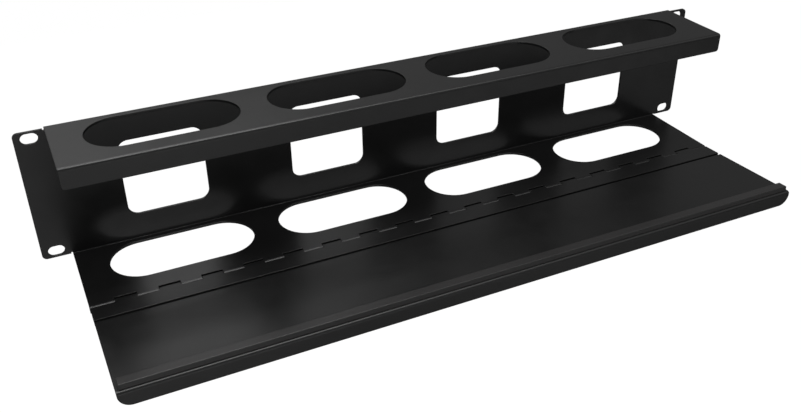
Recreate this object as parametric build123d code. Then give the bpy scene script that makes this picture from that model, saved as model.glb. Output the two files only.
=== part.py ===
from build123d import *
import os

# Horizontal cable manager, two rack units high, for a 19-inch rack: a folded sheet-steel
# duct, open to the front, with pass-through windows in its back and oblong cable openings
# in its top and bottom, and a drop-down cover on a rolled hinge.
# Frame: +X right, +Y to the back, +Z up. Origin: centre of the ears, on their front face.
# The cover is drawn level, then turned up about the pin to the angle at which it stands open.

# Sheet metal, all folded pieces
sheet = 1.5
fold_radius = 1.8  # outside of a fold

# Rack ears
panel_width = 482.6
ear_height = 85.1
ear_corner_radius = 3.0
slot_inset = 8.75  # slot centre from the ear's end
slot_pitch_z = 76.2
slot_length = 9.8
slot_width = 6.7

# Duct
ear_reach = 17.55  # from the duct's side to the ear's end
duct_height = 88.1
lip_reach = 56.9  # front of the lip, ahead of the ears
lip_height = 12.8
lip_corner_radius = 2.0
relief_width = 0.9
relief_depth = 0.6  # below the fold's first line

# Windows in the back, cable openings in the top and bottom
opening_count = 4
opening_margin = 18.2  # from the duct's side to the first cable opening
window_size = 51.1
window_corner_radius = 6.5
cable_opening_length = 89.2
cable_opening_depth = 40.0
cable_opening_reach = 24.0  # its centre, ahead of the ears

# Rolled hinge on the front edge of the duct's bottom
pin_diameter = 1.6
pin_running_gap = 0.05  # on the radius
pin_end_gap = 0.5  # from the duct's side to the pin's end
pin_chamfer = 0.2
pin_reach = 59.95  # pin axis, ahead of the ears
knuckle_pitch = 12.7
knuckle_side_gap = 0.05  # on each side of a knuckle
knuckle_root_gap = 0.1
curl_angle = 280

# Cover and its hinge leaf, lengths along the cover from the pin axis
leaf_length = 15.55
lap_start = 6.5
joggle_gap = 0.35
joggle_radius = 0.5  # inside of the joggle's two bends
cover_side_gap = 0.2
cover_length = 84.3
pull_depth = 9.45
pull_corner_radius = 7.6
open_angle = 2.55  # above level

# Magnetic closing strip along the cover's inner face
strip_width = 6.4
strip_thickness = 3.5
strip_edge_radius = 0.4
strip_end_gap = 1.7

# Widths and spacings that follow from the panel's width
slot_pitch_x = panel_width - 2 * slot_inset
duct_width = panel_width - 2 * ear_reach
cover_width = duct_width - 2 * cover_side_gap
opening_pitch = (duct_width - 2 * opening_margin - cable_opening_length) / (opening_count - 1)
opening_places = [opening_pitch * (i - (opening_count - 1) / 2) for i in range(opening_count)]
knuckle_pairs = int((duct_width / knuckle_pitch - 1) / 2)
knuckle_count = 2 * knuckle_pairs + 1  # odd, so that the duct has the first and the last

# Lines that several pieces share
half_sheet = sheet / 2
half_height = duct_height / 2
fold_mid_radius = fold_radius - half_sheet
bore_radius = pin_diameter / 2 + pin_running_gap
curl_mid_radius = bore_radius + half_sheet
knuckle_radius = bore_radius + sheet
floor_mid = half_sheet - half_height
floor_top = sheet - half_height
pin_height = floor_mid - curl_mid_radius
pin_axis = Axis((0, -pin_reach, pin_height), (-1, 0, 0))
knuckle_gap_root = knuckle_radius + knuckle_root_gap


def rolled(start, heading, turn):
    """Curl of a sheet round the pin, starting level above it."""
    return JernArc(start=start, tangent=(heading, 0), radius=curl_mid_radius, arc_size=turn * curl_angle)


def folded(middle_line, width):
    """Sheet folded along a line in the side view, centred on the duct's middle."""
    return extrude(Plane.YZ * trace(middle_line, line_width=sheet), amount=width / 2, both=True)


def knuckle_places(first):
    """Middles of every second knuckle along the hinge."""
    return [knuckle_pitch * (i - (knuckle_count - 1) / 2) for i in range(first, knuckle_count, 2)]


# Duct: one sheet from the lip over the top, down the back and forward to the curl
lip_foot = (half_sheet - lip_reach, half_height - lip_height)
lip_top = (half_sheet - lip_reach, half_height - half_sheet)
back_top = (half_sheet, half_height - half_sheet)
back_foot = (half_sheet, floor_mid)
curl_start = (-pin_reach, floor_mid)
duct_line = FilletPolyline(lip_foot, lip_top, back_top, back_foot, curl_start, radius=fold_mid_radius)
duct = folded(duct_line + rolled(curl_start, -1, 1), duct_width)

lip_corners = duct.edges().filter_by(Axis.Y).filter_by_position(Axis.Z, lip_foot[1] - sheet, lip_foot[1] + sheet)
duct = fillet(lip_corners, lip_corner_radius)

# Ears: the back's sheet carried on to both sides, with a relief beside each fold
ears = RectangleRounded(panel_width, ear_height, ear_corner_radius)
relief_line = half_height - fold_radius - relief_depth
relief_height = half_height - relief_line
relief = Rectangle(duct_width + 2 * relief_width, relief_height)
ears -= [Pos(0, z) * relief for z in (relief_line + relief_height / 2, -relief_line - relief_height / 2)]
slot = SlotOverall(slot_length, slot_width)
ears -= [Pos(x, z) * slot for x in (-slot_pitch_x / 2, slot_pitch_x / 2) for z in (-slot_pitch_z / 2, slot_pitch_z / 2)]
duct += extrude(Plane.XZ * ears, amount=-sheet)

# Windows through the back, cable openings through the top and the bottom
window = RectangleRounded(window_size, window_size, window_corner_radius)
duct -= [extrude(Plane.XZ * Pos(x, 0) * window, amount=-2 * sheet) for x in opening_places]
cable_opening = SlotOverall(cable_opening_length, cable_opening_depth)
duct -= [extrude(Pos(x, -cable_opening_reach) * cable_opening, amount=duct_height, both=True) for x in opening_places]
notch_depth = knuckle_gap_root + 2 * knuckle_radius
notch = Box(knuckle_pitch + 2 * knuckle_side_gap, notch_depth, 4 * knuckle_radius, align=(Align.CENTER, Align.MAX, Align.CENTER))
duct -= [Pos(x, knuckle_gap_root - pin_reach, pin_height) * notch for x in knuckle_places(1)]

# Hinge pin, held between the duct's end knuckles
pin = Cylinder(pin_diameter / 2, duct_width - 2 * pin_end_gap, rotation=(0, 90, 0))
pin = Pos(0, -pin_reach, pin_height) * chamfer(pin.edges().filter_by(GeomType.CIRCLE), pin_chamfer)

# Hinge leaf, drawn level: a flat strip with fingers curled round the pin from the other side
leaf_root = (-pin_reach - knuckle_gap_root, floor_mid)
leaf = folded(Line((-pin_reach - leaf_length, floor_mid), leaf_root), cover_width)
finger = folded(Line(leaf_root, curl_start) + rolled(curl_start, 1, -1), knuckle_pitch - 2 * knuckle_side_gap)
leaf += [Pos(x, 0, 0) * finger for x in knuckle_places(1)]

# Cover, drawn level: a lap under the leaf, a joggle up to the leaf's level, the panel and the finger pull
joggle_foot = -pin_reach - leaf_length - joggle_gap - joggle_radius
lap = (-pin_reach - lap_start, floor_mid - sheet)
joggle_low = (joggle_foot, floor_mid - sheet)
joggle_high = (joggle_foot - sheet, floor_mid)
pull_top = (half_sheet - pin_reach - cover_length, floor_mid)
pull_foot = (half_sheet - pin_reach - cover_length, floor_top - pull_depth)
joggle_mid_radius = joggle_radius + half_sheet
cover_radii = [joggle_mid_radius, joggle_mid_radius, fold_mid_radius]
cover = folded(FilletPolyline(lap, joggle_low, joggle_high, pull_top, pull_foot, radius=cover_radii), cover_width)
pull_corners = cover.edges().filter_by(Axis.Y).filter_by_position(Axis.Z, pull_foot[1] - sheet, pull_foot[1] + sheet)
cover = fillet(pull_corners, pull_corner_radius)

# Closing strip, laid on the cover behind the fold of the finger pull
strip = Box(cover_width - 2 * strip_end_gap, strip_width, strip_thickness, align=(Align.CENTER, Align.MIN, Align.MIN))
strip = fillet(strip.faces().sort_by(Axis.Z)[-1].edges(), strip_edge_radius)
strip = Pos(0, fold_radius - pin_reach - cover_length, floor_top) * strip

# The cover stands open a little above level
leaf = leaf.rotate(pin_axis, open_angle)
cover = cover.rotate(pin_axis, open_angle)
strip = strip.rotate(pin_axis, open_angle)

os.makedirs("parts", exist_ok=True)
pieces = {"duct": duct, "hinge_pin": pin, "hinge_leaf": leaf, "cover": cover, "closing_strip": strip}
for name, piece in pieces.items():
    export_step(piece, f"parts/{name}.step")
    print(name, len(piece.solids()), round(piece.volume), piece.is_valid)
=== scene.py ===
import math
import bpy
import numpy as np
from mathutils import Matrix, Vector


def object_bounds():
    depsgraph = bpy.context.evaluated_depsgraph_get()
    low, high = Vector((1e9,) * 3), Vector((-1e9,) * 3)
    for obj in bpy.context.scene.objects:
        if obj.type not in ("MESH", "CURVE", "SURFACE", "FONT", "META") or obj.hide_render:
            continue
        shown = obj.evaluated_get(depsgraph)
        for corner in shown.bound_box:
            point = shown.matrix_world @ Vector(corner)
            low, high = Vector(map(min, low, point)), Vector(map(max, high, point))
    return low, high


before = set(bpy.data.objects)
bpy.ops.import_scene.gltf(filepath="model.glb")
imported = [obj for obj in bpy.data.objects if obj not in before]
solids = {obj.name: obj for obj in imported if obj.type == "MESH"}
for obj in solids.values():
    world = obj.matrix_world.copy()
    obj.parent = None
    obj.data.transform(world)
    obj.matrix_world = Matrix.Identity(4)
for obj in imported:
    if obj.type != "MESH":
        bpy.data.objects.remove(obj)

# %% [markdown]
# The object is a horizontal cable manager for a server rack: a long duct of folded sheet
# steel with a cover that drops down on a rolled hinge. The five imported solids have their
# real shape already, down to the 35 knuckles of the hinge, so Blender leaves the shapes
# alone and gives them what a solid has no word for: the finish, the light and the lens.
# The box of the bare solids is kept here, and the floor is placed below its lowest point.

MM = 0.001
cad_low, cad_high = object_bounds()
print("nodes:", sorted(solids))
print("box in mm:", [round(v / MM, 1) for v in (cad_high - cad_low)])

# %% [markdown]
# Every finish below is a graph of shader nodes. Written out in full, such a graph takes
# four lines for each node, so one small function adds a node, sets what it has to be set,
# and joins its inputs. A second one turns a colour from the hex value that a paint chart
# gives to the linear light that the renderer counts in. A third empties the graph that
# Blender puts into each new material, and a fourth gives a solid its finish.

# %% Four helpers for finishes


def linear(hex_colour):
    """sRGB hex to linear RGBA: channel c becomes ((c + 0.055) / 1.055) ** 2.4, or c / 12.92 near black."""
    channels = np.array([int(hex_colour[i:i + 2], 16) / 255 for i in (1, 3, 5)])
    light = np.where(channels <= 0.04045, channels / 12.92, ((channels + 0.055) / 1.055) ** 2.4)
    return (*light.tolist(), 1.0)


def add_node(tree, kind, inputs=None, **settings):
    """Adds a node: settings are its own properties, each input is a value or another node's output."""
    node = tree.nodes.new("ShaderNode" + kind)
    for name, value in settings.items():
        setattr(node, name, value)
    for name, value in (inputs or {}).items():
        if isinstance(value, bpy.types.NodeSocket):
            tree.links.new(value, node.inputs[name])
        else:
            node.inputs[name].default_value = value
    return node


def empty_tree(owner):
    """The node tree of a material or a world, cleared."""
    owner.use_nodes = True
    owner.node_tree.nodes.clear()
    return owner.node_tree


def dress(node, finish):
    """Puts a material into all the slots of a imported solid."""
    for slot in solids[node].material_slots:
        slot.material = finish
    print(node, "is", finish.name)


# %% [markdown]
# A camera has to stand where the photographer stood before any finish can be judged. Its
# place was worked out from the panel's known size: about half a metre ahead of the ears
# and a little to their left, looking down by 31 degrees. Azimuth turns it round the
# part and elevation lifts it, and from these two come the three directions that a camera
# needs: its right, its up, and its back, which points from the picture to the lens.

# %% Directions from two angles


def direction_to(azimuth, elevation):
    """Unit vector, angles in radians: (sin a cos e, -cos a cos e, sin e), so azimuth 0 is straight ahead."""
    level = math.cos(elevation)
    return Vector((math.sin(azimuth) * level, -math.cos(azimuth) * level, math.sin(elevation)))


# %% Camera
azimuth, elevation, roll = (math.radians(v) for v in (-26.154, 31.001, -0.089))
lens_place = Vector((-237.46, -509.54, 271.43)) * MM
back = direction_to(azimuth, elevation)
level_right = Vector((math.cos(azimuth), math.sin(azimuth), 0))
level_up = back.cross(level_right)
right = level_right * math.cos(roll) + level_up * math.sin(roll)
up = level_up * math.cos(roll) - level_right * math.sin(roll)

camera = bpy.data.objects.new("camera", bpy.data.cameras.new("camera"))
camera.data.sensor_fit = "HORIZONTAL"
camera.data.sensor_width = 36.0
camera.data.lens = 40.726
camera.data.shift_x = -0.02090
camera.data.shift_y = -0.00413
camera.data.clip_start = 10 * MM
camera.matrix_world = Matrix((right, up, back)).transposed().to_4x4()
camera.location = lens_place
bpy.context.scene.collection.objects.link(camera)
bpy.context.scene.camera = camera
print("camera", [round(v / MM) for v in camera.location], "mm, lens", camera.data.lens, "mm")

# %% [markdown]
# Almost everything here is polyester powder coat on steel. The powder is sprayed dry and
# melts into a skin about 0.08 mm thick, so it has a satin sheen, a faint orange peel with
# a wave of one to three millimetres, and soft edges, which are drawn here with a radius of
# half a millimetre. Where hands and screws rub, on those same edges, it is a little
# smoother and paler. A plastic skin reflects about four per cent straight on and much
# more at a grazing angle, which is most of what the eye sees of a black part.
# A rounded edge could be cut into the mesh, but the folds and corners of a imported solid
# stay as they are, so the Bevel node bends only the direction in which the light is
# reflected. It also tells where an edge is: there the bent direction and the sheet's own
# part, and the cosine between them falls from 1.

# %% Powder coat
peel_wave = 2.2 * MM
flow_wave = 14 * MM
handling_wave = 70 * MM
peel_height = 0.02 * MM
coat_edge_radius = 0.5 * MM
edge_samples = 6
bump_strength = 0.8
unbent_cosine, bent_cosine = 0.995, 0.80  # where rubbing starts and where it is full
clean_noise, handled_noise = 0.42, 0.62  # noise levels of the untouched and the handled stretches
least_rub = 0.25  # share of the rubbing that is left on an untouched stretch
low_noise, high_noise = 0.3, 0.7  # between these lies nearly all of a noise pattern
sheen_spread = 0.03
rub_polish = -0.08  # change of roughness on a fully rubbed edge
skin_ior = 1.5


def powder_coat(name, colour, rubbed, roughness):
    """Satin powder coat: rounded edges, orange peel, uneven sheen, and edges rubbed paler and smoother."""
    material = bpy.data.materials.new(name)
    tree = empty_tree(material)
    place = add_node(tree, "TexCoord").outputs["Object"]
    peel = add_node(tree, "TexNoise", {"Vector": place, "Scale": 1 / peel_wave,
                                       "Detail": 2.0, "Roughness": 0.55})
    flow = add_node(tree, "TexNoise", {"Vector": place, "Scale": 1 / flow_wave, "Detail": 3.0})
    handling = add_node(tree, "TexNoise", {"Vector": place, "Scale": 1 / handling_wave, "Detail": 4.0})

    edge = add_node(tree, "Bevel", {"Radius": coat_edge_radius}, samples=edge_samples).outputs["Normal"]
    bump = add_node(tree, "Bump", {"Height": peel.outputs["Fac"], "Distance": peel_height,
                                   "Strength": bump_strength, "Normal": edge})

    flat = add_node(tree, "NewGeometry").outputs["Normal"]
    cosine = add_node(tree, "VectorMath", {0: edge, 1: flat}, operation="DOT_PRODUCT")
    rub = add_node(tree, "MapRange", {"Value": cosine.outputs["Value"], "From Min": unbent_cosine,
                                      "From Max": bent_cosine, "To Min": 0.0, "To Max": 1.0})
    patchy = add_node(tree, "MapRange", {"Value": handling.outputs["Fac"], "From Min": clean_noise,
                                         "From Max": handled_noise, "To Min": least_rub, "To Max": 1.0})
    worn = add_node(tree, "Math", {0: rub.outputs["Result"], 1: patchy.outputs["Result"]},
                    operation="MULTIPLY").outputs["Value"]

    sheen = add_node(tree, "MapRange", {"Value": flow.outputs["Fac"],
                                        "From Min": low_noise, "From Max": high_noise,
                                        "To Min": roughness - sheen_spread, "To Max": roughness + sheen_spread})
    polish = add_node(tree, "Math", {0: worn, 1: rub_polish, 2: sheen.outputs["Result"]},
                      operation="MULTIPLY_ADD")
    tint = add_node(tree, "Mix", {"Factor": worn, "A": linear(colour), "B": linear(rubbed)}, data_type="RGBA")
    skin = add_node(tree, "BsdfPrincipled", {"Base Color": tint.outputs["Result"], "IOR": skin_ior,
                                             "Roughness": polish.outputs["Value"],
                                             "Normal": bump.outputs["Normal"]})
    add_node(tree, "OutputMaterial", {"Surface": skin.outputs["BSDF"]})
    return material


coat = powder_coat("satin_black_polyester_powder_coat", "#151515", "#212121", roughness=0.32)
for node in ("duct", "hinge_leaf", "cover"):
    dress(node, coat)

# %% [markdown]
# The bar behind the finger pull is a flexible magnet: ferrite powder in rubber, pressed
# through a die. It is matt, a touch browner than the paint, and faintly streaked along
# its length, the way it left the die. The pin is cold drawn steel, with drawing lines
# along it. Stretching a noise pattern far along one axis gives both kinds of streak.

# %% Magnet rubber and drawn steel
streak_stretch = 60
grain_wave = 0.8 * MM
grain_spread = 0.05
drawn_edge_radius = 0.3 * MM


def drawn(name, light, dark, metallic, roughness, streak_wave, streak_depth):
    """Streaks along X, each streak_stretch times longer than wide, in colour and bump, on a grainy sheen."""
    material = bpy.data.materials.new(name)
    tree = empty_tree(material)
    place = add_node(tree, "TexCoord").outputs["Object"]
    along = add_node(tree, "Mapping", {"Vector": place, "Scale": (1 / streak_stretch, 1, 1)},
                     vector_type="POINT").outputs["Vector"]
    lines = add_node(tree, "TexNoise", {"Vector": along, "Scale": 1 / streak_wave, "Detail": 3.0})
    grain = add_node(tree, "TexNoise", {"Vector": place, "Scale": 1 / grain_wave, "Detail": 2.0})

    streaks = lines.outputs["Fac"]
    tint = add_node(tree, "Mix", {"Factor": streaks, "A": linear(dark), "B": linear(light)}, data_type="RGBA")
    sheen = add_node(tree, "MapRange", {"Value": grain.outputs["Fac"],
                                        "From Min": low_noise, "From Max": high_noise,
                                        "To Min": roughness - grain_spread, "To Max": roughness + grain_spread})
    edge = add_node(tree, "Bevel", {"Radius": drawn_edge_radius}, samples=edge_samples)
    bump = add_node(tree, "Bump", {"Height": streaks, "Distance": streak_depth,
                                   "Strength": bump_strength, "Normal": edge.outputs["Normal"]})
    body = add_node(tree, "BsdfPrincipled", {"Base Color": tint.outputs["Result"], "Metallic": metallic,
                                             "Roughness": sheen.outputs["Result"],
                                             "Normal": bump.outputs["Normal"]})
    add_node(tree, "OutputMaterial", {"Surface": body.outputs["BSDF"]})
    return material


magnet = drawn("matt_ferrite_magnet_rubber", "#2f2e2e", "#252424", metallic=0.0, roughness=0.33,
               streak_wave=0.9 * MM, streak_depth=0.015 * MM)
steel = drawn("cold_drawn_steel", "#b9b8b4", "#8d8c89", metallic=1.0, roughness=0.35,
              streak_wave=0.25 * MM, streak_depth=0.004 * MM)
dress("closing_strip", magnet)
dress("hinge_pin", steel)

# %% [markdown]
# The part hangs by its ears in a rack, so it has nothing to stand on, and the floor lies
# well below it. A catalogue picture shows such a part on pure white. That white is only
# for the lens: the floor and the world ask by which kind of ray they are seen, and answer
# a camera ray with white. Every other ray meets pale grey paper and a dim room. Reflected
# rays are among those, because a black skin that mirrored white all round would look grey,
# and nothing here is polished metal or glass that ought to show the background. The paper
# takes the part's shadow too, but so far below that it hardly shows.

# %% Floor
floor_drop = 900 * MM  # below the part's lowest point
half_floor = 3.0
white = (1.0, 1.0, 1.0, 1.0)
floor_z = cad_low.z - floor_drop
corner_signs = ((-1, -1), (1, -1), (1, 1), (-1, 1))
floor_mesh = bpy.data.meshes.new("floor")
floor_mesh.from_pydata([(x * half_floor, y * half_floor, floor_z) for x, y in corner_signs], [], [(0, 1, 2, 3)])
floor = bpy.data.objects.new("floor", floor_mesh)
bpy.context.scene.collection.objects.link(floor)

paper = bpy.data.materials.new("pale_background_paper")
tree = empty_tree(paper)
by_lens = add_node(tree, "LightPath").outputs["Is Camera Ray"]
grey_sheet = add_node(tree, "BsdfDiffuse", {"Color": linear("#8c8c8c")})
shaded_sheet = add_node(tree, "BsdfDiffuse", {"Color": linear("#464646")})
glow = add_node(tree, "Emission", {"Color": white, "Strength": 1.0})
white_sheet = add_node(tree, "AddShader", {0: glow.outputs["Emission"], 1: shaded_sheet.outputs["BSDF"]})
seen_sheet = add_node(tree, "MixShader", {0: by_lens, 1: grey_sheet.outputs["BSDF"],
                                          2: white_sheet.outputs["Shader"]})
add_node(tree, "OutputMaterial", {"Surface": seen_sheet.outputs["Shader"]})
floor_mesh.materials.append(paper)
print("floor", round(-floor_z / MM), "mm below the middle of the ears")

# %% [markdown]
# A satin black sheet shows hardly any colour of its own: what the eye reads is the lamps,
# mirrored and blurred. So each softbox is placed by the surface that mirrors it to the
# lens. The ones overhead draw the bright lines along the folds, whose rounded edges look
# straight up from there. Those behind make the top surface fade from left to right, and
# through the windows they draw the pale patches on the bottom and the cover. The upright
# faces look down and forward, at long low cards: the lip and the finger pull mirror them
# openly, and the back mirrors them through the bottom's openings, as a pool of light
# under each window.
# A softbox is described by how bright it looks, its radiance, since that is what a mirror
# repeats. A lamp of power P has a radiance of P / (pi * width * height). Around them all
# the world is a dim, even room.

# %% Lamps


def softbox(name, azimuth_deg, elevation_deg, width, height, radiance, distance=1.5):
    """A rectangular area lamp on a sphere round the part, turned to the part's middle, sizes in metres."""
    lamp = bpy.data.lights.new(name, "AREA")
    lamp.shape = "RECTANGLE"
    lamp.size = width
    lamp.size_y = height
    lamp.energy = radiance * math.pi * width * height
    box = bpy.data.objects.new(name, lamp)
    direction = direction_to(math.radians(azimuth_deg), math.radians(elevation_deg))
    box.rotation_mode = "QUATERNION"
    box.rotation_quaternion = direction.to_track_quat("Z", "Y")
    box.location = direction * distance
    bpy.context.scene.collection.objects.link(box)
    print(name, "gives", round(lamp.energy, 1), "W")


softbox("overhead", 0, 90, 0.65, 0.65, 5.0)
softbox("overhead_left", -60, 70, 0.65, 0.65, 3.1)
softbox("overhead_right", 60, 70, 0.65, 0.65, 2.5)
softbox("overhead_back", 180, 70, 0.65, 0.65, 1.2)
softbox("back_high", 180, 50, 0.65, 0.65, 2.1)
softbox("back_left", -165, 30, 0.65, 0.65, 0.38)
softbox("back_right", 157, 34, 0.9, 0.4, 0.12)
softbox("front_right", 60, 40, 0.9, 0.9, 0.5)
softbox("front_level", 10, 15, 1.0, 0.35, 0.8)
softbox("card_left_high", -9, -12, 0.9, 0.25, 1.5, distance=1.4)
softbox("card_left_low", -9, -30, 0.9, 0.22, 0.95, distance=1.6)
softbox("card_right_low", 24, -28, 0.7, 0.22, 0.42, distance=1.7)
softbox("card_right_high", 28, -19, 1.25, 0.24, 0.65, distance=1.7)

# %% World
room_level = (0.16, 0.16, 0.16, 1.0)
world = bpy.data.worlds.new("studio")
tree = empty_tree(world)
by_lens = add_node(tree, "LightPath").outputs["Is Camera Ray"]
level = add_node(tree, "Mix", {"Factor": by_lens, "A": room_level, "B": white}, data_type="RGBA")
sky = add_node(tree, "Background", {"Color": level.outputs["Result"]})
add_node(tree, "OutputWorld", {"Surface": sky.outputs["Background"]})
bpy.context.scene.world = world
bpy.context.scene.view_settings.view_transform = "Standard"
print("room light", room_level[0], "of white")
